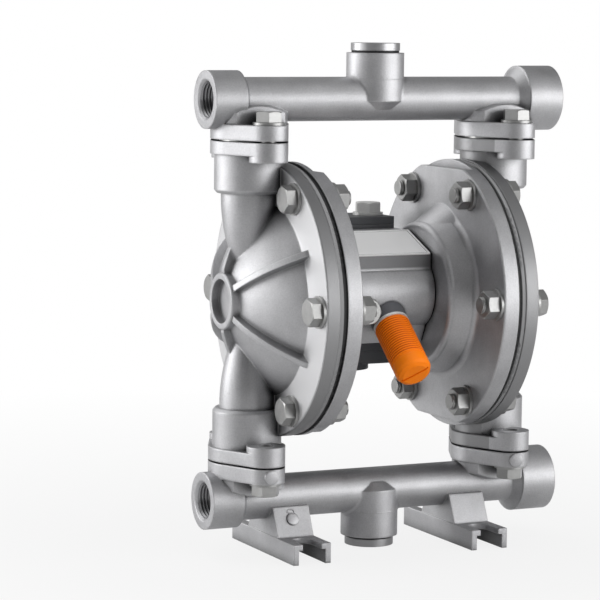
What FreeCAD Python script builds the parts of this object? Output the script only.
import FreeCAD, Part
import math
import os
import re
import Sketcher

# Air-operated double diaphragm pump in sandblasted aluminium.
# Two manifolds, one above and one below, join two round pump chambers that
# stand on either side of an air section.  A shaft through the middle pulls
# the two diaphragms back and forth.  Balls on seats let the liquid through
# one way only: in at the bottom, out at the top.
#
# X runs along the manifolds, Y to the back, Z up.  The origin is midway
# between the chambers, in the plane of the manifolds, on the floor.

SIZES = {
    # Main levels
    "pump_axis_z": 136.0,
    "manifold_offset": 106.0,
    "joint_offset": 85.0,
    "joint_gap": 1.0,
    "column_x": 73.4,
    # Manifold tubes and their ends
    "tube_radius": 11.75,
    "tube_bore": 8.0,
    "left_end_x": 98.75,
    "right_end_x": 106.6,
    "left_boss_radius": 15.3,
    "left_boss_length": 18.0,
    "right_boss_radius": 17.7,
    "right_boss_length": 20.0,
    "port_thread_radius": 9.5,
    "port_depth": 17.0,
    "port_chamfer": 1.4,
    # Oval flanges that bolt the manifolds to the covers
    "flange_end_radius": 20.6,
    "lug_radius": 10.2,
    "lug_y": 24.5,
    "manifold_flange": 8.0,
    "cover_flange": 6.9,
    "cover_lug": 10.3,
    "neck_radius": 20.0,
    "neck_flat_y": 14.5,
    "neck_drop": 3.0,
    "neck_shoulder": 3.5,
    "neck_bore": 7.0,
    # Plugged core openings in the middle of each manifold
    "stub_radius": 15.5,
    "stub_height": 24.6,
    "stub_below": 1.0,
    "stub_taper": 4.5,
    "stub_bore": 9.5,
    "stub_fillet": 2.0,
    "plug_head_radius": 13.2,
    "plug_head": 4.0,
    "plug_length": 11.0,
    "plug_gap": 1.2,
    # Feet cast on the lower manifold
    "foot_x": 53.0,
    "foot_width": 21.5,
    "foot_half_length": 40.0,
    "foot_height": 10.7,
    "foot_wall": 3.0,
    "foot_plate": 3.0,
    "slot_width": 11.0,
    "slot_end_y": 28.0,
    "pad_low_y": 19.4,
    "pad_high_y": 12.3,
    "pad_drop": 4.0,
    # Check valves
    "ball_radius": 8.0,
    "ball_lift": 3.5,
    "ball_clearance": 0.07,
    "ball_room": 2.4,
    "seat_radius": 16.0,
    "seat_below": 4.5,
    "seat_above": 1.5,
    "seat_bore": 5.0,
    "seat_cone": 2.0,
    "seat_fit": 0.1,
    "seat_ring_radius": 12.4,
    "ring_section": 0.78,
    "stop_half_width": 4.5,
    "ball_stop_drop": 5.6,
    # Fluid covers
    "cover_radius": 72.9,
    "cover_bolt_edge": 8.9,
    "fluid_flange_in": 54.3,
    "fluid_flange_out": 61.8,
    "dome_base_radius": 51.0,
    "dome_curve": 87.0,
    "dome_top_x": 84.7,
    "hub_radius": 15.1,
    "hub_x": 89.3,
    "hub_recess_radius": 11.8,
    "hub_recess": 4.3,
    "dome_wall": 4.5,
    "rib_width": 3.4,
    "rib_tip_radius": 58.5,
    "rib_rise": 4.0,
    "rib_foot": 1.6,
    "collar_radius": 18.4,
    "collar_start": 57.0,
    "column_radius": 14.8,
    "column_end": 15.5,
    "column_tip_radius": 6.5,
    "column_curve": 103.0,
    "passage_z": 42.0,
    "passage_radius": 7.5,
    # Air covers
    "air_flange_in": 41.2,
    "air_flange_out": 49.8,
    "air_flat_depth": 4.4,
    "air_rim": 3.0,
    "air_dish_radius": 46.5,
    "air_hub_radius": 37.0,
    "air_hub_x": 26.5,
    "air_wall": 5.0,
    "spigot_bore": 14.0,
    "hump_radius": 30.0,
    "hump_half_width": 24.5,
    "hump_top": 49.0,
    "hump_lean": 38.0,
    # Diaphragms and their plates
    "ptfe_thickness": 2.05,
    "rubber_thickness": 2.2,
    "clamp_fit": 0.05,
    "ptfe_inset": 0.5,
    "rubber_inset": 1.2,
    "roll_clearance": 6.0,
    "plate_margin": 4.0,
    "roll_depth": 4.5,
    "inner_plate_radius": 27.0,
    "inner_plate_x": 42.0,
    "outer_plate_radius": 26.0,
    "outer_plate": 6.8,
    "plate_bolt_radius": 6.0,
    "plate_bolt_head": 7.0,
    "plate_bolt_flats": 18.0,
    "plate_bolt_depth": 17.0,
    "shaft_radius": 8.0,
    "shaft_stroke": 6.0,
    # Centre body
    "body_half_width": 26.0,
    "barrel_radius": 19.5,
    "barrel_top_y": 19.2,
    "barrel_top_z": 14.4,
    "barrel_low_y": 12.8,
    "barrel_low_z": 15.5,
    "body_back_y": 23.5,
    "body_low_z": 25.0,
    "body_high_z": 34.0,
    "ledge_front_z": 23.4,
    "ledge_back_y": 8.0,
    "ledge_front_y": 18.2,
    "ledge_foot_z": 15.2,
    "spigot_length": 4.8,
    "bush_radius": 11.0,
    "bush_length": 10.0,
    "seal_length": 4.0,
    "running_fit": 0.1,
    "gasket": 0.4,
    "rod_radius": 3.0,
    "rod_z": 20.0,
    "rod_end_gap": 0.3,
    # Air valve
    "valve_half_width": 25.0,
    "valve_back_y": 54.0,
    "valve_high": 36.0,
    "valve_low": 33.6,
    "valve_cap": 4.4,
    "valve_low_cap": 7.4,
    "valve_boss_radius": 15.5,
    "valve_boss": 3.2,
    "spool_y": 38.0,
    "spool_radius": 7.5,
    "spool_length": 57.0,
    "spool_travel": 10.0,
    "spool_waist": 4.5,
    "valve_bolt_x": 15.8,
    "inlet_radius": 5.8,
    "inlet_depth": 11.0,
    "inlet_passage": 4.0,
    "inlet_boss_radius": 10.5,
    "inlet_boss": 4.0,
    # Exhaust muffler
    "muffler_angle": 129.0,
    "muffler_y": 23.0,
    "muffler_drop": 13.4,
    "muffler_radius": 9.7,
    "muffler_length": 35.5,
    "muffler_rib_pitch": 1.5,
    "muffler_rib_depth": 0.45,
    "muffler_cap": 8.0,
    "muffler_slot_turn": 38.0,
    "adapter_radius": 9.9,
    "adapter_length": 14.3,
    "adapter_bore": 6.0,
    "muffler_washer": 1.5,
    "muffler_neck_radius": 5.6,
    "muffler_neck_length": 9.0,
    # Fasteners
    "bolt_radius": 4.0,
    "bolt_hole": 4.5,
    "tapped_fit": 0.1,
    "hex_flats": 13.0,
    "hex_head": 5.5,
    "hex_nut": 6.5,
    "hex_corner": 0.6,
    "washer_radius": 8.4,
    "washer_thick": 1.6,
    "bolt_past_nut": 2.2,
    "small_screw_radius": 2.5,
    "small_screw_circle": 20.5,
    "small_screw_depth": 9.0,
    "small_head_radius": 4.4,
    "small_head": 3.0,
    "hex_plug_x": 15.8,
    "hex_plug_drop": 5.5,
    "hex_plug_face_y": 23.6,
    "hex_plug_depth": 5.0,
    "end_plug_length": 12.0,
    "end_plug_recess": 2.0,
}

doc = FreeCAD.newDocument("double_diaphragm_pump")
sheet = doc.addObject("Spreadsheet::Sheet", "Sizes")
for row, (word, value) in enumerate(SIZES.items(), start=1):
    sheet.set("A%d" % row, word)
    sheet.set("B%d" % row, str(value))
    sheet.setAlias("B%d" % row, word)
workings = doc.addObject("Spreadsheet::Sheet", "Workings")
doc.recompute()

WORD = re.compile(r"[a-z_]+[a-z0-9_]*")
FUNCTIONS = {"sqrt", "sin", "cos", "tan", "min", "max"}


def rule(text):
    """An expression whose size names point at the sheet."""
    def point(match):
        word = match.group(0)
        return word if word in FUNCTIONS else "Sizes." + word
    return WORD.sub(point, str(text))


def size(text):
    """The number that a rule comes to, worked out on a sheet of its own."""
    workings.set("A1", "=" + rule(text))
    workings.recompute()
    return float(workings.get("A1"))


def bind(thing, **rules):
    """Tie properties of an object to rules."""
    for name, text in rules.items():
        thing.setExpression(name, rule(text))
    return thing


def place(thing, x="0", y="0", z="0"):
    """Tie an object's position to rules."""
    for letter, text in (("x", x), ("y", y), ("z", z)):
        if str(text) != "0":
            thing.setExpression("Placement.Base." + letter, rule(text))
    return thing


TURNS = {
    "z": FreeCAD.Rotation(),
    "-z": FreeCAD.Rotation(FreeCAD.Vector(1, 0, 0), 180),
    "x": FreeCAD.Rotation(FreeCAD.Vector(0, 1, 0), 90),
    "-x": FreeCAD.Rotation(FreeCAD.Vector(0, 1, 0), -90),
    "y": FreeCAD.Rotation(FreeCAD.Vector(1, 0, 0), -90),
    "-y": FreeCAD.Rotation(FreeCAD.Vector(1, 0, 0), 90),
}


def turn(thing, way):
    thing.Placement = FreeCAD.Placement(FreeCAD.Vector(), TURNS[way])
    return thing


def cylinder(name, radius, height, x="0", y="0", z="0", way="z"):
    thing = turn(doc.addObject("Part::Cylinder", name), way)
    bind(thing, Radius=radius, Height=height)
    return place(thing, x, y, z)


def cone(name, radius, end_radius, height, x="0", y="0", z="0", way="z"):
    thing = turn(doc.addObject("Part::Cone", name), way)
    bind(thing, Radius1=radius, Radius2=end_radius, Height=height)
    return place(thing, x, y, z)


def box(name, length, width, height, x="0", y="0", z="0"):
    """A box whose given corner is its lowest one on every axis."""
    thing = doc.addObject("Part::Box", name)
    bind(thing, Length=length, Width=width, Height=height)
    return place(thing, x, y, z)


def sphere(name, radius, x="0", y="0", z="0"):
    thing = doc.addObject("Part::Sphere", name)
    bind(thing, Radius=radius)
    return place(thing, x, y, z)


def hexagon(name, flats, height, x="0", y="0", z="0", way="z"):
    thing = turn(doc.addObject("Part::Prism", name), way)
    thing.Polygon = 6
    bind(thing, Circumradius=flats + " / 1.7320508", Height=height)
    return place(thing, x, y, z)


def hex_head(name, height, z="0"):
    """A head or nut whose outer corners are turned off to a cone."""
    across = "(hex_flats / 1.7320508)"
    turned = revolved(name + "_turned", [
        ("0", "0"), (across + " + 0.1", "0"),
        (across + " + 0.1", height + " - hex_corner"),
        (across + " - 1.7 * hex_corner", height), ("0", height)], axis="V_Axis")
    return place(common(name, hexagon(name + "_flats", "hex_flats", height), turned), z=z)


def fuse(name, *parts):
    thing = doc.addObject("Part::MultiFuse", name)
    thing.Shapes = list(parts)
    thing.Refine = True
    return thing


def cut(name, base, *tools):
    thing = doc.addObject("Part::Cut", name)
    thing.Base = base
    thing.Tool = tools[0] if len(tools) == 1 else fuse(name + "_tools", *tools)
    thing.Refine = True
    return thing


def common(name, *parts):
    thing = doc.addObject("Part::MultiCommon", name)
    thing.Shapes = list(parts)
    return thing


def on_cylinder(face, radius, axis):
    """Whether a face is part of a cylinder of this radius along this axis."""
    surface = face.Surface
    if surface.TypeId != "Part::GeomCylinder" or abs(surface.Radius - radius) > 0.001:
        return False
    return abs(abs(surface.Axis.dot(axis)) - 1) < 0.001


def blend(name, base, radius, first, second):
    """Fillet the edges where two cylinders, each a radius and axis, meet."""
    doc.recompute()
    shape = base.Shape
    edges = []
    for i, edge in enumerate(shape.Edges, start=1):
        faces = shape.ancestorsOfType(edge, Part.Face)
        if len(faces) == 2:
            for one, other in (faces, faces[::-1]):
                if on_cylinder(one, *first) and on_cylinder(other, *second):
                    edges.append((i, size(radius), size(radius)))
    thing = doc.addObject("Part::Fillet", name)
    thing.Base = base
    thing.Edges = edges
    return thing


def mirror(name, source):
    """The same piece on the other side of the plane between the chambers."""
    thing = doc.addObject("Part::Mirroring", name)
    thing.Source = source
    thing.Base = FreeCAD.Vector()
    thing.Normal = FreeCAD.Vector(1, 0, 0)
    return thing


def origin_plane(body, role):
    return [f for f in body.Origin.OriginFeatures if f.Role == role][0]


def arc_between(start, end, radius, rightward):
    """An arc from start to end that turns to the left, or to the right."""
    half = (end - start) * 0.5
    rise = math.sqrt(radius * radius - half.Length * half.Length)
    left = FreeCAD.Vector(-half.y, half.x, 0).normalize()
    centre = start + half + left * (-rise if rightward else rise)
    circle = Part.Circle(centre, FreeCAD.Vector(0, 0, 1), radius)
    angles = [math.atan2(spot.y - centre.y, spot.x - centre.x) for spot in (start, end)]
    if rightward:
        angles.reverse()
    return Part.ArcOfCircle(circle, angles[0], angles[1])


def hold(sketch, text, *where):
    """Add a constraint whose value follows a rule."""
    sketch.addConstraint(Sketcher.Constraint(*where, size(text)))
    last = len(sketch.Constraints) - 1
    sketch.setExpression("Constraints[%d]" % last, rule(text))


def outline(body, name, role, points):
    """A closed outline whose corners follow rules.

    A corner is (across, up).  With a third word, a radius, the side that
    starts there is an arc that turns to the left, or to the right where a
    fourth word says so.
    """
    sketch = body.newObject("Sketcher::SketchObject", name)
    sketch.AttachmentSupport = [(origin_plane(body, role), "")]
    sketch.MapMode = "FlatFace"
    places = [FreeCAD.Vector(size(point[0]), size(point[1]), 0) for point in points]
    starts, ends = [], []
    for i, point in enumerate(points):
        following = places[(i + 1) % len(places)]
        rightward = len(point) == 4
        if len(point) == 2:
            side = sketch.addGeometry(Part.LineSegment(places[i], following), False)
        else:
            arc = arc_between(places[i], following, size(point[2]), rightward)
            side = sketch.addGeometry(arc, False)
        starts.append((side, 2 if rightward else 1))
        ends.append((side, 1 if rightward else 2))
    for i, end in enumerate(ends):
        following = starts[(i + 1) % len(starts)]
        sketch.addConstraint(Sketcher.Constraint("Coincident", *end, *following))
    for point, start in zip(points, starts):
        hold(sketch, point[0], "DistanceX", -1, 1, *start)
        hold(sketch, point[1], "DistanceY", -1, 1, *start)
        if len(point) > 2:
            hold(sketch, point[2], "Radius", start[0])
    return sketch


def revolved(name, points, z="0", axis="H_Axis"):
    """A turned piece: its half outline in X and Z, spun about X or Z."""
    body = doc.addObject("PartDesign::Body", name)
    sketch = outline(body, name + "_outline", "XZ_Plane", points)
    spin = body.newObject("PartDesign::Revolution", name + "_spin")
    spin.Profile = sketch
    spin.ReferenceAxis = (sketch, [axis])
    spin.Angle = 360
    body.Tip = spin
    return place(body, z=z)


def padded(name, role, points, length, both=True):
    """A straight-sided piece: its outline drawn out to a length."""
    body = doc.addObject("PartDesign::Body", name)
    sketch = outline(body, name + "_outline", role, points)
    pad = body.newObject("PartDesign::Pad", name + "_pad")
    pad.Profile = sketch
    bind(pad, Length=length)
    pad.Midplane = both
    body.Tip = pad
    return body


def scattered(name, source, spots):
    """One node that holds copies of a piece, each moved to its own place."""
    doc.recompute()
    solids = []
    for spot in spots:
        copy = source.Shape.copy()
        copy.Placement = spot.multiply(copy.Placement)
        solids.append(copy)
    thing = doc.addObject("Part::Feature", name)
    thing.Shape = Part.makeCompound(solids)
    return thing


def moved(x=0.0, y=0.0, z=0.0, way="z", spin=0.0):
    """A place for a copy that was made pointing up at the origin."""
    own_spin = FreeCAD.Rotation(FreeCAD.Vector(0, 0, 1), spin)
    return FreeCAD.Placement(FreeCAD.Vector(x, y, z), TURNS[way].multiply(own_spin))


nodes = {}


def keep(name, thing):
    """Name a finished sub-part."""
    thing.Label = name
    nodes[name] = thing
    return thing


# Heights that several pieces share
UPPER_AXIS = "pump_axis_z + manifold_offset"
LOWER_AXIS = "pump_axis_z - manifold_offset"
UPPER_JOINT = "pump_axis_z + joint_offset"
LOWER_JOINT = "pump_axis_z - joint_offset"
BALL_REST = "seat_above - seat_cone - seat_bore + 1.41421356 * (ball_radius + ball_clearance)"
ROOM_RADIUS = "ball_radius + ball_room"
BORE_HOLE = "bolt_radius + tapped_fit"
BOLT_CIRCLE = "(cover_radius - cover_bolt_edge)"
COVER_BOLTS = 6
# How far the hexagons happened to stop when they were tightened, in degrees
COVER_HEAD_TURN, COVER_NUT_TURN, MANIFOLD_HEAD_TURN, VALVE_HEAD_TURN = 12.0, 8.0, 7.0, 10.0


def oval(name, x, thickness, z):
    """An oval flange: a round middle drawn out to a lug at front and back."""
    lean = "((flange_end_radius - lug_radius) / lug_y)"
    rise = "sqrt(1 - " + lean + " * " + lean + ")"
    wide = "flange_end_radius * " + rise
    near = "flange_end_radius * " + lean
    narrow = "lug_radius * " + rise
    far = "(lug_y + lug_radius * " + lean + ")"
    points = [(wide, near), (narrow, far), ("-" + narrow, far), ("-" + wide, near),
              ("-" + wide, "-" + near), ("-" + narrow, "-" + far),
              (narrow, "-" + far), (wide, "-" + near)]
    middle = padded(name + "_sides", "XY_Plane", points, thickness, both=False)
    place(middle, x, "0", z)
    round_end = cylinder(name + "_middle", "flange_end_radius", thickness, x, "0", z)
    front = cylinder(name + "_front", "lug_radius", thickness, x, "-lug_y", z)
    back = cylinder(name + "_back", "lug_radius", thickness, x, "lug_y", z)
    return fuse(name, middle, round_end, front, back)


def manifold(name, upright):
    """A manifold made with its tube on the X axis and its flanges below it.

    The lower manifold is the same casting upside down, with feet added.
    """
    face = "manifold_offset - joint_offset - joint_gap / 2"
    tube = cylinder(name + "_tube", "tube_radius", "left_end_x + right_end_x - 4",
                    "-left_end_x + 2", way="x")
    left_boss = cylinder(name + "_left_boss", "left_boss_radius", "left_boss_length",
                         "-left_end_x", way="x")
    left_blend = cone(name + "_left_blend", "left_boss_radius - 0.8", "tube_radius", "2.5",
                      "-left_end_x + left_boss_length", way="x")
    right_boss = cylinder(name + "_right_boss", "right_boss_radius", "right_boss_length",
                          "right_end_x - right_boss_length", way="x")
    right_blend = cone(name + "_right_blend", "right_boss_radius - 1", "tube_radius", "4",
                       "right_end_x - right_boss_length", way="-x")
    stub = cylinder(name + "_stub", "stub_radius", "stub_height + stub_below",
                    z="-stub_below")
    stub_under = cone(name + "_stub_under", "stub_radius", "tube_radius - 0.5", "stub_taper",
                      z="-stub_below", way="-z")
    parts = [tube, left_boss, left_blend, right_boss, right_blend, stub, stub_under]
    tools = [cylinder(name + "_bore", "tube_bore", "left_end_x + right_end_x + 2",
                      "-left_end_x - 1", way="x"),
             cylinder(name + "_left_thread", "port_thread_radius", "port_depth + 1",
                      "-left_end_x - 1", way="x"),
             cone(name + "_left_mouth", "port_thread_radius + port_chamfer",
                  "port_thread_radius", "port_chamfer", "-left_end_x", way="x"),
             cylinder(name + "_right_thread", "port_thread_radius", "port_depth + 1",
                      "right_end_x + 1", way="-x"),
             cone(name + "_right_mouth", "port_thread_radius + port_chamfer",
                  "port_thread_radius", "port_chamfer", "right_end_x", way="-x"),
             cylinder(name + "_stub_bore", "stub_bore", "stub_height + 1", z="0")]
    if upright:
        room, counter = ROOM_RADIUS, "seat_above - joint_gap / 2 + seat_fit / 2"
        room_length = face + " - ball_stop_drop"
    else:
        room, counter = "neck_bore", "seat_below - joint_gap / 2 + seat_fit / 2"
        room_length = face
    for side, x in (("left", "-column_x"), ("right", "column_x")):
        spot = name + "_" + side
        parts.append(oval(spot + "_flange", x, "manifold_flange", "-(" + face + ")"))
        straight = face + " - neck_drop - neck_shoulder"
        neck = cylinder(spot + "_neck_round", "neck_radius", straight, x, "0",
                        "-(" + face + ")")
        shoulder = cone(spot + "_neck_shoulder", "neck_radius", "neck_flat_y - 0.5",
                        "neck_shoulder", x, "0", "-neck_drop - neck_shoulder")
        flats = box(spot + "_neck_flats", "3 * neck_radius", "2 * neck_flat_y", face,
                    x + " - 1.5 * neck_radius", "-neck_flat_y", "-(" + face + ")")
        whole = fuse(spot + "_neck_whole", neck, shoulder)
        parts.append(common(spot + "_neck", whole, flats))
        tools.append(cylinder(spot + "_room", room, room_length, x, "0",
                              "-(" + face + ")"))
        tools.append(cylinder(spot + "_seat_room", "seat_radius + seat_fit", counter, x, "0",
                              "-(" + face + ")"))
        for end, y in (("front", "-lug_y"), ("back", "lug_y")):
            tools.append(cylinder(spot + "_" + end + "_hole", "bolt_hole",
                                  "manifold_flange + 2", x, y, "-(" + face + ") - 1"))
    return parts, tools


def stand(name, shape_parts, tools, upper):
    """Set a manifold at its height, the lower one upside down."""
    solid = fuse(name + "_solid", *shape_parts)
    tube = (size("tube_radius"), FreeCAD.Vector(1, 0, 0))
    stub = (size("stub_radius"), FreeCAD.Vector(0, 0, 1))
    solid = blend(name + "_stub_blend", solid, "stub_fillet", tube, stub)
    solid = cut(name + "_casting", solid, *tools)
    if upper:
        return place(solid, z=UPPER_AXIS)
    # The lower casting is the upper one turned over about the tube's line.
    solid.Placement = FreeCAD.Placement(FreeCAD.Vector(),
                                        FreeCAD.Rotation(FreeCAD.Vector(1, 0, 0), 180))
    return place(solid, z=LOWER_AXIS)


parts, tools = manifold("upper", True)
keep("upper_manifold", stand("upper", parts, tools, True))


def foot(name, x):
    """A foot: an upturned channel, slotted at both ends, under a sloped block."""
    corner = x + " - foot_width / 2"
    slab = box(name + "_slab", "foot_width", "2 * foot_half_length", "foot_height",
               corner, "-foot_half_length", "0")
    block = padded(name + "_block", "YZ_Plane",
                   [("-pad_low_y", "foot_height - foot_plate"),
                    ("pad_low_y", "foot_height - foot_plate"),
                    ("pad_low_y", "foot_height"),
                    ("pad_high_y", LOWER_AXIS + " - pad_drop"),
                    ("-pad_high_y", LOWER_AXIS + " - pad_drop"),
                    ("-pad_low_y", "foot_height")],
                   "foot_width - 0.6")
    place(block, x)
    return [slab, block]


def foot_cuts(name, x):
    inside = "foot_width - 2 * foot_wall"
    channel = box(name + "_channel", inside, "2 * foot_half_length + 2",
                  "foot_height - foot_plate + 1", x + " - foot_width / 2 + foot_wall",
                  "-foot_half_length - 1", "-1")
    cuts = [channel]
    for end, way in (("front", "-"), ("back", "")):
        middle = way + "slot_end_y"
        cuts.append(cylinder(name + "_" + end + "_slot_end", "slot_width / 2",
                             "foot_plate + 2", x, middle, "foot_height - foot_plate - 1"))
        start = "-foot_half_length - 1" if end == "front" else "slot_end_y"
        cuts.append(box(name + "_" + end + "_slot", "slot_width",
                        "foot_half_length - slot_end_y + 1", "foot_plate + 2",
                        x + " - slot_width / 2", start, "foot_height - foot_plate - 1"))
    return cuts


parts, tools = manifold("lower", False)
casting = stand("lower", parts, tools, False)
feet = foot("left_foot", "-foot_x") + foot("right_foot", "foot_x")
feet_cuts = foot_cuts("left_foot", "-foot_x") + foot_cuts("right_foot", "foot_x")
tube_room = cylinder("foot_tube_room", "tube_radius - 0.2", "2 * foot_x + 2 * foot_width",
                     "-foot_x - foot_width", "0", LOWER_AXIS, "x")
trimmed_feet = cut("feet", fuse("feet_solid", *feet), tube_room, *feet_cuts)
keep("lower_manifold", fuse("lower_manifold_whole", casting, trimmed_feet))


# Fluid cover: a flanged dome with a column up and a column down.
# It is made for the right-hand side, about the pump axis.
FACE = "(joint_offset - joint_gap / 2)"
dome = revolved("dome", [
    ("fluid_flange_in", "0"), ("fluid_flange_in", "cover_radius"),
    ("fluid_flange_out - 0.6", "cover_radius"), ("fluid_flange_out", "cover_radius - 0.6"),
    ("fluid_flange_out", "dome_base_radius", "dome_curve", "right"),
    ("dome_top_x", "hub_radius"), ("hub_x - 0.6", "hub_radius"),
    ("hub_x", "hub_radius - 0.6"), ("hub_x", "hub_recess_radius"),
    ("hub_x - hub_recess", "hub_recess_radius"), ("hub_x - hub_recess", "0")])
chamber = revolved("chamber", [
    ("fluid_flange_in - 1", "0"), ("fluid_flange_in - 1", "dome_base_radius"),
    ("fluid_flange_in", "dome_base_radius"),
    ("fluid_flange_out - 3.5", "dome_base_radius - 2.5", "dome_curve", "right"),
    ("dome_top_x - dome_wall - 0.6", "hub_radius - 2.5"),
    ("hub_x - hub_recess - dome_wall", "hub_recess_radius - 2.5"),
    ("hub_x - hub_recess - dome_wall", "0")])


def column(name, up):
    """A column: collar, tapering round pillar and oval flange."""
    way = "" if up else "-"
    pillar = revolved(name + "_pillar", [
        ("0", "column_end"), ("column_tip_radius", "column_end", "column_curve"),
        ("column_radius", "collar_start"),
        ("collar_radius - 1.4", "collar_start"), ("collar_radius", "collar_start + 1.6"),
        ("collar_radius", FACE), ("0", FACE)], axis="V_Axis")
    if not up:
        pillar.Placement = FreeCAD.Placement(FreeCAD.Vector(),
                                             FreeCAD.Rotation(FreeCAD.Vector(1, 0, 0), 180))
    place(pillar, "column_x")
    low = FACE + " - cover_flange" if up else "-" + FACE
    flange = oval(name + "_flange", "column_x", "cover_flange", low)
    low = FACE + " - cover_lug" if up else "-" + FACE
    lugs = [cylinder(name + "_" + end + "_lug", "lug_radius", "cover_lug", "column_x", y, low)
            for end, y in (("front", "-lug_y"), ("back", "lug_y"))]
    return [pillar, flange] + lugs


def rib(name, turned):
    """A radial rib that runs from the hub down onto the flange."""
    body = padded(name, "XZ_Plane", [
        ("fluid_flange_out - 2", "hub_radius - 3"),
        ("hub_x - 1.4", "hub_radius - 3"),
        ("hub_x - 1.4", "hub_radius - 0.5"),
        ("dome_top_x + rib_rise - 0.6", "hub_radius + 1.6", "dome_curve"),
        ("fluid_flange_out + rib_foot", "rib_tip_radius - 1"),
        ("fluid_flange_out", "rib_tip_radius"),
        ("fluid_flange_out - 2", "rib_tip_radius")], "rib_width")
    body.Placement = FreeCAD.Placement(FreeCAD.Vector(),
                                       FreeCAD.Rotation(FreeCAD.Vector(1, 0, 0), turned))
    return body


def bolt_spots(x, way, start=0.0):
    """Six places on the cover's bolt circle, all pointing one way along X."""
    circle = size(BOLT_CIRCLE)
    height = size("pump_axis_z")
    spots = []
    for k in range(COVER_BOLTS):
        angle = math.radians(360.0 / COVER_BOLTS * k)
        spots.append(moved(x, circle * math.cos(angle), height + circle * math.sin(angle),
                           way, start))
    return spots


def ring_holes(name, radius, x, length):
    """Six bolt holes round the pump axis."""
    holes = []
    for k in range(COVER_BOLTS):
        angle = "(%d)" % (360 // COVER_BOLTS * k)
        hole = cylinder("%s_%d" % (name, k), radius, length, x,
                        BOLT_CIRCLE + " * cos" + angle, BOLT_CIRCLE + " * sin" + angle, "x")
        holes.append(hole)
    return holes


cover_parts = [dome] + column("upper_column", True) + column("lower_column", False)
cover_parts += [rib("rib_%d" % k, 60 * k) for k in range(6)]
cover_parts_whole = fuse("cover_solid", *cover_parts)

cover_tools = [chamber]
cover_tools += ring_holes("cover_hole", "bolt_hole", "fluid_flange_in - 1",
                          "fluid_flange_out - fluid_flange_in + 12")
for side, sign in (("upper", ""), ("lower", "-")):
    low = FACE + " - cover_lug - 0.5" if side == "upper" else "-" + FACE + " - 0.5"
    for end, y in (("front", "-lug_y"), ("back", "lug_y")):
        cover_tools.append(cylinder("cover_%s_%s_tap" % (side, end), BORE_HOLE,
                                    "cover_lug + 1", "column_x", y, low))
    cover_tools.append(cylinder("cover_%s_cross" % side, "passage_radius",
                                "column_x - fluid_flange_in", "fluid_flange_in", "0",
                                sign + "passage_z", "x"))
    cover_tools.append(sphere("cover_%s_elbow" % side, "passage_radius", "column_x", "0",
                              sign + "passage_z"))
# Upper column: a plain bore up to the seat.
cover_tools.append(cylinder("cover_upper_bore", "passage_radius", FACE + " - passage_z",
                            "column_x", "0", "passage_z"))
cover_tools.append(cylinder("cover_upper_seat_room", "seat_radius + seat_fit",
                            "seat_below - joint_gap / 2 + seat_fit / 2 + 1", "column_x", "0",
                            FACE + " - (seat_below - joint_gap / 2 + seat_fit / 2)"))
# Lower column: a room for the ball, which a narrow slot above it stops.
STOP = "(" + BALL_REST + " + ball_lift + sqrt(ball_radius * ball_radius" \
       " - stop_half_width * stop_half_width) + 0.2)"
cover_tools.append(cylinder("cover_ball_room", ROOM_RADIUS,
                            STOP + " - joint_gap / 2 + 0.01", "column_x", "0", "-" + FACE))
cover_tools.append(box("cover_stop_slot", "2 * (" + ROOM_RADIUS + ") - 1",
                       "2 * stop_half_width", FACE + " - passage_z", "column_x - ("
                       + ROOM_RADIUS + ") + 0.5", "-stop_half_width", "-" + FACE))
cover_tools.append(cylinder("cover_lower_seat_room", "seat_radius + seat_fit",
                            "seat_above - joint_gap / 2 + seat_fit / 2 + 1", "column_x", "0",
                            "-" + FACE + " - 1"))
right_cover = place(cut("right_cover_whole", cover_parts_whole, *cover_tools),
                    z="pump_axis_z")
keep("right_fluid_cover", right_cover)
keep("left_fluid_cover", mirror("left_cover_whole", right_cover))


# Air cover: a flange with flats top and bottom, and a dish down to the
# centre body.
air_shell = revolved("air_shell", [
    ("air_hub_x", "spigot_bore"), ("air_hub_x", "air_hub_radius", "3", "right"),
    ("air_hub_x + 3", "air_hub_radius + 2.4"),
    ("air_flange_in - 3", "air_dish_radius - 3.2", "3.2"), ("air_flange_in", "air_dish_radius"),
    ("air_flange_in", "cover_radius - 0.6"), ("air_flange_in + 0.6", "cover_radius"),
    ("air_flange_out", "cover_radius"), ("air_flange_out", "spigot_bore")])
air_room = revolved("air_room", [
    ("air_hub_x + air_wall", "0"), ("air_hub_x + air_wall", "air_hub_radius - 4"),
    ("air_hub_x + air_wall + 2.5", "air_hub_radius - 2"),
    ("air_flange_in - 0.7", "air_dish_radius - 6.5"),
    ("air_flange_in + 3.3", "air_dish_radius + 0.5"),
    ("air_flange_out - 1.5", "dome_base_radius"), ("air_flange_out + 1", "dome_base_radius"),
    ("air_flange_out + 1", "0")])
# The flats stop short of the joint, where the rim is a full circle.
flats = [box("air_flat_" + end, "air_flange_out - air_rim - air_flange_in + 1",
             "2 * cover_radius", "air_flat_depth + 1", "air_flange_in - 1",
             "-cover_radius", low)
         for end, low in (("top", "cover_radius - air_flat_depth"),
                          ("bottom", "-cover_radius - 1"))]
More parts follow.
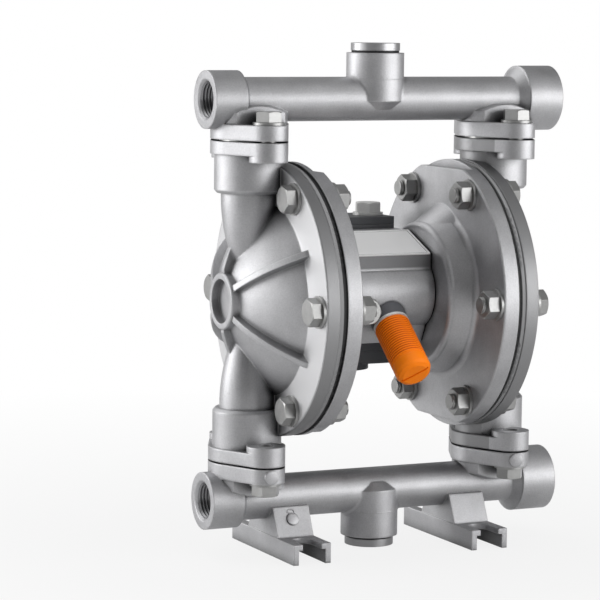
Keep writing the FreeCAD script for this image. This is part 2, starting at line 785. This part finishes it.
# A broad hump over the air passage leans out from the hub to the flange.
hump = cylinder("air_hump", "hump_radius", "2 * cover_radius")
hump.Placement = FreeCAD.Placement(FreeCAD.Vector(), FreeCAD.Rotation(
    FreeCAD.Vector(0, 1, 0), 90 - size("hump_lean")))
hump.setExpression("Placement.Rotation.Angle", rule("90 - hump_lean"))
HUMP_DROP = "(hump_radius / cos(hump_lean))"
place(hump, "air_flange_in - cover_radius * cos(hump_lean)", "0",
      "hump_top - " + HUMP_DROP + " - cover_radius * sin(hump_lean)")
hump_trim = box("air_hump_trim", "air_flange_in - air_hub_x + 1", "2 * hump_half_width",
                "hump_top", "air_hub_x", "-hump_half_width", "air_hub_radius - 8")
air_solid = fuse("air_solid", cut("air_flatted", air_shell, *flats),
                 common("air_hump_trimmed", hump, hump_trim))
SCREW_ANGLES = (40, 140, 255, 285)


def screw_holes(name, radius, x, length):
    """Four holes for the screws that hold an air cover to the centre body."""
    return [cylinder("%s_%d" % (name, a), radius, length, x,
                     "small_screw_circle * cos(%d)" % a,
                     "small_screw_circle * sin(%d)" % a, "x") for a in SCREW_ANGLES]


air_tools = [air_room]
air_tools += ring_holes("air_hole", "bolt_hole", "air_flange_in - 1",
                        "air_flange_out - air_flange_in + 2")
air_tools += screw_holes("air_screw_hole", "small_screw_radius + 0.3", "air_hub_x - 1",
                         "air_wall + 2")
air_tools.append(cylinder("air_rod_hole", "rod_radius + 1", "air_wall + 2",
                          "air_hub_x - 1", "0", "rod_z", "x"))
right_air = place(cut("right_air_whole", air_solid, *air_tools), z="pump_axis_z")
keep("right_air_cover", right_air)
keep("left_air_cover", mirror("left_air_whole", right_air))


# Centre body: the casting between the air covers, a barrel in front with the
# sloping ledge for the nameplate above it and a boss for the small plug.
profile = [
    ("-ledge_front_y", "ledge_foot_z"),
    ("-barrel_top_y", "barrel_top_z", "barrel_radius"), ("-barrel_low_y", "-barrel_low_z"),
    ("-barrel_low_y + 1", "-barrel_low_z - 2.5"), ("-barrel_low_y + 4.6", "-body_low_z"),
    ("body_back_y", "-body_low_z"), ("body_back_y", "body_high_z"),
    ("ledge_back_y", "body_high_z"), ("-ledge_front_y", "ledge_front_z")]
block = padded("body_block", "YZ_Plane", profile, "2 * body_half_width")
spigots = cylinder("body_spigots", "spigot_bore - running_fit",
                   "2 * (body_half_width + spigot_length)",
                   "-body_half_width - spigot_length", way="x")


def along_muffler(thing, start):
    """Place a piece on the exhaust's line, which runs down to the front."""
    thing.Placement = FreeCAD.Placement(FreeCAD.Vector(),
                                        FreeCAD.Rotation(FreeCAD.Vector(1, 0, 0),
                                                         size("muffler_angle")))
    thing.setExpression("Placement.Rotation.Angle", rule("muffler_angle"))
    along_y = "-muffler_y - (" + start + ") * sin(muffler_angle)"
    along_z = "-muffler_drop + (" + start + ") * cos(muffler_angle)"
    return place(thing, "0", along_y, "pump_axis_z + " + along_z)


body_tools = [
    cylinder("body_shaft_hole", "shaft_radius + 0.4", "4 * body_half_width",
             "-2 * body_half_width", way="x"),
    cylinder("body_rod_hole", "rod_radius + running_fit", "4 * body_half_width",
             "-2 * body_half_width", "0", "rod_z", "x"),
    cylinder("body_plug_hole", BORE_HOLE, "hex_plug_depth + 1", "-hex_plug_x",
             "-hex_plug_face_y - 1", "-hex_plug_drop", "y")]
BUSH_START = "body_half_width + spigot_length - seal_length - bush_length"
for side, x, way in (("right", BUSH_START, "x"), ("left", "-(" + BUSH_START + ")", "-x")):
    body_tools.append(cylinder("body_%s_bush_room" % side, "bush_radius",
                               "bush_length + seal_length + 1", x, way=way))
for side, start in (("right", "body_half_width - small_screw_depth"),
                    ("left", "-body_half_width - 1")):
    body_tools += screw_holes("body_%s_tap" % side, "small_screw_radius + tapped_fit",
                              start, "small_screw_depth + 1")
plug_boss = cylinder("body_plug_boss", "hex_flats / 1.7320508 + 0.4",
                     "hex_plug_face_y - bolt_radius", "-hex_plug_x", "-hex_plug_face_y",
                     "-hex_plug_drop", "y")
body_block = cut("body_machined", fuse("body_solid", block, spigots, plug_boss), *body_tools)
place(body_block, z="pump_axis_z")
adapter_room = doc.addObject("Part::Cylinder", "body_adapter_room")
bind(adapter_room, Radius="adapter_radius + running_fit",
     Height="adapter_length + muffler_washer + 12")
along_muffler(adapter_room, "-adapter_length")
keep("centre_body", cut("centre_body_whole", body_block, adapter_room))

gasket_ring = revolved("gasket_ring", [
    ("body_half_width + 0.05", "spigot_bore + 0.1"),
    ("body_half_width + 0.05", "small_screw_circle - 4"),
    ("air_hub_x - 0.05", "small_screw_circle - 4"),
    ("air_hub_x - 0.05", "spigot_bore + 0.1")], z="pump_axis_z")
keep("centre_gaskets", scattered("gasket_pair", gasket_ring,
                                 [moved(), moved(spin=180)]))

bush = revolved("bush", [
    (BUSH_START, "shaft_radius + running_fit"),
    (BUSH_START, "bush_radius - running_fit"),
    (BUSH_START + " + bush_length", "bush_radius - running_fit"),
    (BUSH_START + " + bush_length", "shaft_radius + running_fit")], z="pump_axis_z")
keep("shaft_bushes", scattered("bush_pair", bush, [moved(), moved(spin=180)]))
SEAL_START = BUSH_START + " + bush_length + 0.05"
seal = revolved("seal", [
    (SEAL_START, "shaft_radius + 1"), (SEAL_START, "bush_radius - running_fit"),
    (SEAL_START + " + seal_length - 0.2", "bush_radius - running_fit"),
    (SEAL_START + " + seal_length - 0.2", "shaft_radius + running_fit"),
    (SEAL_START + " + seal_length / 2", "shaft_radius + running_fit")], z="pump_axis_z")
keep("shaft_seals", scattered("seal_pair", seal, [moved(), moved(spin=180)]))

rod = cylinder("rod", "rod_radius", "2 * (inner_plate_x - shaft_stroke * 2 / 3 - rod_end_gap)",
               "-(inner_plate_x - shaft_stroke * 2 / 3 - rod_end_gap)", "0",
               "pump_axis_z + rod_z", "x")
keep("pilot_rod", rod)


# Shaft and the plates that clamp the diaphragms to it.
shaft_solid = cylinder("shaft_bar", "shaft_radius", "2 * inner_plate_x", "-inner_plate_x",
                       "0", "pump_axis_z", "x")
shaft_taps = [cylinder("shaft_tap_right", "plate_bolt_radius + tapped_fit",
                       "plate_bolt_depth + 1", "inner_plate_x + 1", "0", "pump_axis_z", "-x"),
              cylinder("shaft_tap_left", "plate_bolt_radius + tapped_fit",
                       "plate_bolt_depth + 1", "-inner_plate_x - 1", "0", "pump_axis_z", "x")]
keep("drive_shaft", cut("drive_shaft_whole", shaft_solid, *shaft_taps))

HOLE = "plate_bolt_radius + tapped_fit"
inner_plate = revolved("inner_plate", [
    ("inner_plate_x", HOLE), ("inner_plate_x", "inner_plate_radius - 9"),
    ("inner_plate_x + 3", "inner_plate_radius - 2"),
    ("inner_plate_x + 4.5", "inner_plate_radius"),
    ("air_flange_out - 1.6", "inner_plate_radius"),
    ("air_flange_out", "inner_plate_radius - 2"), ("air_flange_out", HOLE)],
    z="pump_axis_z")
keep("right_inner_plate", inner_plate)
keep("left_inner_plate", mirror("left_inner_plate_whole", inner_plate))
OUTER = "air_flange_out + rubber_thickness + ptfe_thickness + 3 * clamp_fit"
outer_plate = revolved("outer_plate", [
    (OUTER, HOLE), (OUTER, "outer_plate_radius - 2.5"),
    (OUTER + " + 2", "outer_plate_radius"), (OUTER + " + 3.2", "outer_plate_radius"),
    (OUTER + " + outer_plate - 1.2", "outer_plate_radius - 7"),
    (OUTER + " + outer_plate", "outer_plate_radius - 11"),
    (OUTER + " + outer_plate", HOLE)], z="pump_axis_z")
keep("right_outer_plate", outer_plate)
keep("left_outer_plate", mirror("left_outer_plate_whole", outer_plate))

plate_head = hexagon("plate_bolt_head_hex", "plate_bolt_flats", "plate_bolt_head")
plate_shank = cylinder("plate_bolt_shank", "plate_bolt_radius",
                       OUTER + " + outer_plate - inner_plate_x + plate_bolt_depth - 1",
                       way="-z")
plate_bolt = fuse("plate_bolt", plate_head, plate_shank)
plate_face = size("air_flange_out + rubber_thickness + ptfe_thickness + 3 * clamp_fit"
                  " + outer_plate")
keep("plate_bolts", scattered("plate_bolt_pair", plate_bolt, [
    moved(plate_face, 0, size("pump_axis_z"), "x"),
    moved(-plate_face, 0, size("pump_axis_z"), "-x")]))


ROLL_OUTER = "(dome_base_radius - roll_clearance)"
ROLL_INNER = "(inner_plate_radius + plate_margin)"


def diaphragm(name, start, thickness, radius):
    """A round sheet with a rolled ring between its rim and its middle."""
    face = start + " + " + thickness
    wide = "(" + ROLL_OUTER + " - " + ROLL_INNER + ") / 2"
    ring = "(" + ROLL_OUTER + " + " + ROLL_INNER + ") / 2"
    inside, outside = ring + " - " + wide + " * 0.55", ring + " + " + wide + " * 0.55"
    sheet_body = revolved(name + "_sheet", [
        (start, HOLE), (start, ROLL_INNER), (start + " - roll_depth * 0.7", inside),
        (start + " - roll_depth", ring), (start + " - roll_depth * 0.7", outside),
        (start, ROLL_OUTER), (start, radius), (face, radius), (face, ROLL_OUTER),
        (face + " - roll_depth * 0.7", outside), (face + " - roll_depth", ring),
        (face + " - roll_depth * 0.7", inside), (face, ROLL_INNER), (face, HOLE)])
    holes = ring_holes(name + "_hole", "bolt_hole", start + " - 1", thickness + " + 2")
    return place(cut(name, sheet_body, *holes), z="pump_axis_z")


RUBBER_START = "air_flange_out + clamp_fit"
PTFE_START = "air_flange_out + rubber_thickness + 2 * clamp_fit"
rubber = diaphragm("rubber", RUBBER_START, "rubber_thickness", "cover_radius - rubber_inset")
keep("right_backing_diaphragm", rubber)
keep("left_backing_diaphragm", mirror("left_rubber", rubber))
ptfe = diaphragm("ptfe", PTFE_START, "ptfe_thickness", "cover_radius - ptfe_inset")
keep("right_ptfe_diaphragm", ptfe)
keep("left_ptfe_diaphragm", mirror("left_ptfe", ptfe))


# Ball seats, their sealing rings and the balls.
seat_body = revolved("seat_body", [
    ("seat_bore", "-seat_below"), ("seat_radius - 0.4", "-seat_below"),
    ("seat_radius", "-seat_below + 0.4"), ("seat_radius", "seat_above - 0.4"),
    ("seat_radius - 0.4", "seat_above"), ("seat_bore + seat_cone", "seat_above"),
    ("seat_bore", "seat_above - seat_cone")], axis="V_Axis")
groove_depth = "2 * ring_section + 0.04 - seat_fit / 2"
groove = revolved("seat_groove", [
    ("seat_ring_radius - ring_section - 0.1", "-seat_below - 1"),
    ("seat_ring_radius + ring_section + 0.1", "-seat_below - 1"),
    ("seat_ring_radius + ring_section + 0.1", "-seat_below + " + groove_depth),
    ("seat_ring_radius - ring_section - 0.1", "-seat_below + " + groove_depth)],
    axis="V_Axis")
seat_piece = cut("seat_piece", seat_body, groove)
ring_piece = doc.addObject("Part::Torus", "ring_piece")
bind(ring_piece, Radius1="seat_ring_radius", Radius2="ring_section")
place(ring_piece, z="-seat_below - seat_fit / 2 + ring_section + 0.02")
across = size("column_x")
levels = (size("pump_axis_z - joint_offset"), size("pump_axis_z + joint_offset"))
valve_spots = [moved(x, 0, z) for z in levels for x in (-across, across)]
keep("ball_seats", scattered("seat_set", seat_piece, valve_spots))
keep("seat_o_rings", scattered("ring_set", ring_piece, valve_spots))
for name, x, joint in (("lower_left_ball", "-column_x", LOWER_JOINT),
                       ("lower_right_ball", "column_x", LOWER_JOINT),
                       ("upper_left_ball", "-column_x", UPPER_JOINT),
                       ("upper_right_ball", "column_x", UPPER_JOINT)):
    keep(name, sphere(name + "_round", "ball_radius", x, "0", joint + " + " + BALL_REST))


# Air valve on the back of the centre body, with its spool and end caps.
FRONT = "body_back_y + gasket + 0.1"
DEPTH = "valve_back_y - body_back_y - gasket - 0.1"
valve_solid = box("valve_solid", "2 * valve_half_width", DEPTH, "valve_high + valve_low",
                  "-valve_half_width", FRONT, "pump_axis_z - valve_low")
inlet_boss = cylinder("valve_inlet_boss", "inlet_boss_radius", "inlet_boss + 1", "0",
                      "valve_back_y - 1", "pump_axis_z", "y")
valve_tools = [
    cylinder("valve_bore", "spool_radius + running_fit", "valve_high + valve_low + 2", "0",
             "spool_y", "pump_axis_z - valve_low - 1"),
    cylinder("valve_inlet", "inlet_radius", "inlet_depth + 1", "0",
             "valve_back_y + inlet_boss - inlet_depth", "pump_axis_z", "y"),
    cylinder("valve_inlet_passage", "inlet_passage", "valve_back_y + inlet_boss - spool_y", "0",
             "spool_y", "pump_axis_z", "y")]
for side, x in (("left", "-valve_bolt_x"), ("right", "valve_bolt_x")):
    valve_tools.append(cylinder("valve_%s_hole" % side, "bolt_hole",
                                "valve_high + valve_low + 2", x, "spool_y",
                                "pump_axis_z - valve_low - 1"))
keep("valve_block", cut("valve_block_whole", fuse("valve_solid_whole", valve_solid, inlet_boss),
                        *valve_tools))

top_slab = box("top_cap_slab", "2 * valve_half_width", DEPTH, "valve_cap - 0.1",
               "-valve_half_width", FRONT, "pump_axis_z + valve_high + 0.1")
top_holes = [cylinder("top_cap_hole_" + side, "bolt_hole", "valve_cap + 2", x, "spool_y",
                      "pump_axis_z + valve_high - 1")
             for side, x in (("left", "-valve_bolt_x"), ("right", "valve_bolt_x"))]
keep("valve_top_cap", cut("top_cap_whole", top_slab, *top_holes))
LOW_CAP = "pump_axis_z - valve_low - valve_low_cap"
low_slab = box("low_cap_slab", "2 * valve_half_width", DEPTH, "valve_low_cap - 0.1",
               "-valve_half_width", FRONT, LOW_CAP)
low_boss = cylinder("low_cap_boss", "valve_boss_radius", "valve_boss + 1", "0", "spool_y",
                    LOW_CAP + " - valve_boss")
low_holes = [cylinder("low_cap_tap_" + side, BORE_HOLE, "valve_low_cap - 1", x, "spool_y",
                      LOW_CAP + " + 1")
             for side, x in (("left", "-valve_bolt_x"), ("right", "valve_bolt_x"))]
keep("valve_bottom_cap", cut("low_cap_whole", fuse("low_cap_solid", low_slab, low_boss),
                             *low_holes))
keep("valve_gasket", box("gasket_sheet", "2 * valve_half_width - 4", "gasket",
                         "body_low_z + body_high_z - 4", "-valve_half_width + 2",
                         "body_back_y + 0.05", "pump_axis_z - body_low_z + 2"))

WAIST = "spool_waist"
spool = revolved("spool", [
    ("0", "0"), ("spool_radius - 0.5", "0"), ("spool_radius", "0.5"), ("spool_radius", "12"),
    (WAIST, "12"), (WAIST, "24"), ("spool_radius", "24"), ("spool_radius", "34"),
    (WAIST, "34"), (WAIST, "46"), ("spool_radius", "46"),
    ("spool_radius", "spool_length - 0.5"), ("spool_radius - 0.5", "spool_length"),
    ("0", "spool_length")], axis="V_Axis")
place(spool, "0", "spool_y", "pump_axis_z - valve_low + 0.3")
keep("valve_spool", spool)


# Exhaust: a dark adapter, a bright washer and the ribbed muffler.
adapter = revolved("adapter", [
    ("adapter_bore", "0"), ("adapter_radius", "0"), ("adapter_radius", "adapter_length"),
    ("adapter_bore", "adapter_length")], axis="V_Axis")
along_muffler(adapter, "-adapter_length")
keep("exhaust_adapter", adapter)
muffler_washer = revolved("muffler_washer_turned", [
    ("adapter_bore", "0.05"), ("adapter_radius", "0.05"),
    ("adapter_radius", "muffler_washer"), ("adapter_bore", "muffler_washer")],
    axis="V_Axis")
along_muffler(muffler_washer, "0")
keep("muffler_washer", muffler_washer)


def muffler_points():
    """The muffler's half outline, with a fine ring of ribs along its side."""
    deep = "muffler_radius - muffler_rib_depth"
    points = [("0", "-muffler_neck_length"), ("muffler_neck_radius", "-muffler_neck_length"),
              ("muffler_neck_radius", "0"), (deep, "0")]
    count = int((size("muffler_length") - size("muffler_cap") - 2.0)
                / size("muffler_rib_pitch"))
    for k in range(count):
        low = "1 + %d * muffler_rib_pitch" % k
        points += [(deep, low), ("muffler_radius", low + " + muffler_rib_pitch * 0.15"),
                   ("muffler_radius", low + " + muffler_rib_pitch * 0.6"),
                   (deep, low + " + muffler_rib_pitch * 0.75")]
    points += [(deep, "muffler_length - muffler_cap"),
               ("muffler_radius", "muffler_length - muffler_cap + 0.4"),
               ("muffler_radius", "muffler_length - 3"),
               ("muffler_radius - 1", "muffler_length - 1"),
               ("muffler_radius - 3", "muffler_length"), ("0", "muffler_length")]
    return points


muffler_body = revolved("muffler_body", muffler_points(), axis="V_Axis")
muffler_slot = box("muffler_slot", "1.6 * muffler_radius", "1.2", "3",
                   "-0.8 * muffler_radius", "-0.6", "muffler_length - 1.6")
muffler_slot.Placement = FreeCAD.Placement(
    FreeCAD.Vector(), FreeCAD.Rotation(FreeCAD.Vector(0, 0, 1), size("muffler_slot_turn")))
muffler_slot.setExpression("Placement.Rotation.Angle", rule("muffler_slot_turn"))
place(muffler_slot, "-0.8 * muffler_radius * cos(muffler_slot_turn) + 0.6 * sin(muffler_slot_turn)",
      "-0.8 * muffler_radius * sin(muffler_slot_turn) - 0.6 * cos(muffler_slot_turn)",
      "muffler_length - 1.6")
muffler = cut("muffler_whole", muffler_body, muffler_slot)
along_muffler(muffler, "muffler_washer + 0.05")
keep("muffler", muffler)


# Plugs in the manifolds' core openings and right-hand ends.
cap = cylinder("core_plug_head", "plug_head_radius", "plug_head", z="plug_gap")
stem = cylinder("core_plug_stem", "stub_bore - tapped_fit", "plug_length + plug_gap + 0.5",
                z="-plug_length")
core_plug = fuse("core_plug", cap, stem)
stub_top = size("pump_axis_z + manifold_offset + stub_height")
stub_low = size("pump_axis_z - manifold_offset - stub_height")
keep("top_plug", scattered("top_plug_whole", core_plug, [moved(0, 0, stub_top)]))
keep("bottom_plug", scattered("bottom_plug_whole", core_plug, [moved(0, 0, stub_low, "-z")]))
collar_ring = revolved("plug_ring", [
    ("stub_bore", "0.06"), ("plug_head_radius - 0.4", "0.06"),
    ("plug_head_radius - 0.4", "plug_gap - 0.06"), ("stub_bore", "plug_gap - 0.06")],
    axis="V_Axis")
keep("plug_rings", scattered("plug_ring_pair", collar_ring,
                             [moved(0, 0, stub_top), moved(0, 0, stub_low, "-z")]))

end_plug_solid = cylinder("end_plug_solid", "port_thread_radius - tapped_fit",
                          "end_plug_length", way="-x")
end_plug_hex = hexagon("end_plug_hex", "10", "6.5", "0.5", way="-x")
end_plug = cut("end_plug", end_plug_solid, end_plug_hex)
end_x = size("right_end_x - end_plug_recess")
keep("end_plugs", scattered("end_plug_pair", end_plug, [
    moved(end_x, 0, size("pump_axis_z + manifold_offset")),
    moved(end_x, 0, size("pump_axis_z - manifold_offset"))]))


# Fasteners.  Each is made pointing up and copied to its places.
def hex_bolt(name, length):
    head = hex_head(name + "_head", "hex_head")
    shank = cylinder(name + "_shank", "bolt_radius", length, way="-z")
    return fuse(name, head, shank)


def washer(name):
    return cut(name, cylinder(name + "_disc", "washer_radius", "washer_thick - 0.1", z="0.05"),
               cylinder(name + "_eye", "bolt_radius + 0.3", "washer_thick + 2", z="-1"))


GRIP = "fluid_flange_out - air_flange_in"
cover_bolt = hex_bolt("cover_bolt", GRIP + " + 2 * washer_thick + hex_nut + bolt_past_nut")
plain_washer = washer("plain_washer")
nut = cut("nut", hex_head("nut_hex", "hex_nut"),
          cylinder("nut_eye", "bolt_radius + tapped_fit", "hex_nut + 2", z="-1"))
head_x = size("fluid_flange_out + washer_thick")
face_x = size("fluid_flange_out")
back_x = size("air_flange_in")
nut_x = size("air_flange_in - washer_thick")
for side, sign, out, back in (("right", 1, "x", "-x"), ("left", -1, "-x", "x")):
    keep(side + "_cover_bolts", scattered(side + "_bolt_set", cover_bolt,
                                          bolt_spots(sign * head_x, out, COVER_HEAD_TURN)))
    keep(side + "_cover_washers", scattered(side + "_washer_set", plain_washer,
                                            bolt_spots(sign * face_x, out)
                                            + bolt_spots(sign * back_x, back)))
    keep(side + "_cover_nuts", scattered(side + "_nut_set", nut,
                                         bolt_spots(sign * nut_x, back, COVER_NUT_TURN)))

manifold_bolt = hex_bolt("manifold_bolt",
                         "washer_thick + manifold_flange + joint_gap + cover_lug - 0.8")
side_y = size("lug_y")
upper_face = size("pump_axis_z + joint_offset + joint_gap / 2 + manifold_flange")
lower_face = size("pump_axis_z - joint_offset - joint_gap / 2 - manifold_flange")
thick = size("washer_thick")
corners = [(x, y) for x in (-across, across) for y in (-side_y, side_y)]
keep("upper_manifold_bolts", scattered("upper_bolt_set", manifold_bolt, [
    moved(x, y, upper_face + thick, "z", MANIFOLD_HEAD_TURN) for x, y in corners]))
keep("upper_manifold_washers", scattered("upper_washer_set", plain_washer, [
    moved(x, y, upper_face) for x, y in corners]))
keep("lower_manifold_bolts", scattered("lower_bolt_set", manifold_bolt, [
    moved(x, y, lower_face - thick, "-z", MANIFOLD_HEAD_TURN) for x, y in corners]))
keep("lower_manifold_washers", scattered("lower_washer_set", plain_washer, [
    moved(x, y, lower_face, "-z") for x, y in corners]))

valve_bolt = hex_bolt("valve_bolt",
                      "washer_thick + valve_cap + valve_high + valve_low + valve_low_cap - 1.5")
cap_top = size("pump_axis_z + valve_high + valve_cap")
valve_corners = [(x, size("spool_y")) for x in (-size("valve_bolt_x"), size("valve_bolt_x"))]
keep("valve_bolts", scattered("valve_bolt_set", valve_bolt, [
    moved(x, y, cap_top + thick, "z", VALVE_HEAD_TURN) for x, y in valve_corners]))
keep("valve_washers", scattered("valve_washer_set", plain_washer, [
    moved(x, y, cap_top) for x, y in valve_corners]))

small_screw = fuse("small_screw",
                   cylinder("small_screw_head", "small_head_radius", "small_head", z="0.05"),
                   cylinder("small_screw_shank", "small_screw_radius",
                            "air_hub_x + air_wall - body_half_width + small_screw_depth - 1",
                            z="0.1", way="-z"))
screw_cut = cut("small_screw_piece", small_screw,
                hexagon("small_screw_key", "4", "2.2", z="1.2"))
screw_x = size("air_hub_x + air_wall")
circle = size("small_screw_circle")
axis_z = size("pump_axis_z")
screw_spots = []
for sign, way in ((1, "x"), (-1, "-x")):
    for a in SCREW_ANGLES:
        screw_spots.append(moved(sign * screw_x, circle * math.cos(math.radians(a)),
                                 axis_z + circle * math.sin(math.radians(a)), way))
keep("air_cover_screws", scattered("small_screw_set", screw_cut, screw_spots))

hex_plug = fuse("hex_plug_piece", hex_head("hex_plug_head", "hex_head", z="0.05"),
                cylinder("hex_plug_stem", "bolt_radius", "hex_plug_depth", z="-hex_plug_depth + 0.3"))
keep("body_plug", scattered("body_plug_whole", hex_plug, [
    moved(-size("hex_plug_x"), -size("hex_plug_face_y"), axis_z - size("hex_plug_drop"), "-y")]))


# Check everything, then write one file per sub-part.
doc.recompute()
for thing in doc.Objects:
    state = " ".join(thing.State)
    if "Invalid" in state or "Error" in state:
        raise RuntimeError("failed object: %s %s" % (thing.Name, state))
for name, thing in nodes.items():
    shape = thing.Shape
    if shape.isNull() or not shape.isValid() or not shape.Solids:
        raise RuntimeError("bad shape: " + name)
os.makedirs("parts", exist_ok=True)
for name, thing in nodes.items():
    thing.Shape.exportStep(os.path.join("parts", name + ".step"))
print(len(nodes), "sub-parts")
